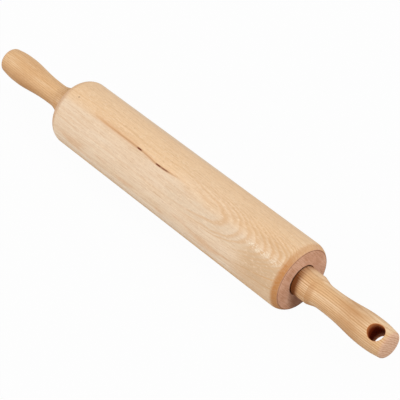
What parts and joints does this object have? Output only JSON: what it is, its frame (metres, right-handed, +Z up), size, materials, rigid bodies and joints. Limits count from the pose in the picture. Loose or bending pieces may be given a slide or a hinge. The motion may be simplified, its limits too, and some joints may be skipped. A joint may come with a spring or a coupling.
{
  "type": "rolling pin with turned handles",
  "caption": "Wooden rolling pin: a cylindrical roller spins on a steel rod between turned handles, one drilled with a hanging hole.",
  "frame": {"origin": "centre of the roller, on the axis that it turns about", "axes": "+X along the pin towards the handle with the hanging hole, +Z up with the pin lying level"},
  "size_m": [0.4274, 0.056, 0.056],
  "materials": {
    "roller_wood": "pale maple, sanded and oiled",
    "handle_wood": "straight-grained hardwood, oiled",
    "rod_steel": "drawn steel rod",
    "bush_nylon": "dark brown nylon, moulded",
    "washer_steel": "stamped steel"
  },
  "bodies": {
    "handle_set": {"axle_rod": "rod_steel", "hanging_handle": "handle_wood", "plain_handle": "handle_wood", "hanging_end_washer": "washer_steel", "plain_end_washer": "washer_steel"},
    "roller_set": {"roller": "roller_wood", "hanging_end_bush": "bush_nylon", "plain_end_bush": "bush_nylon"}
  },
  "joints": [
    {"name": "roller_spin", "type": "hinge", "parent": "handle_set", "child": "roller_set", "pos_m": [0, 0, 0], "axis": [1, 0, 0], "continuous": true}
  ]
}
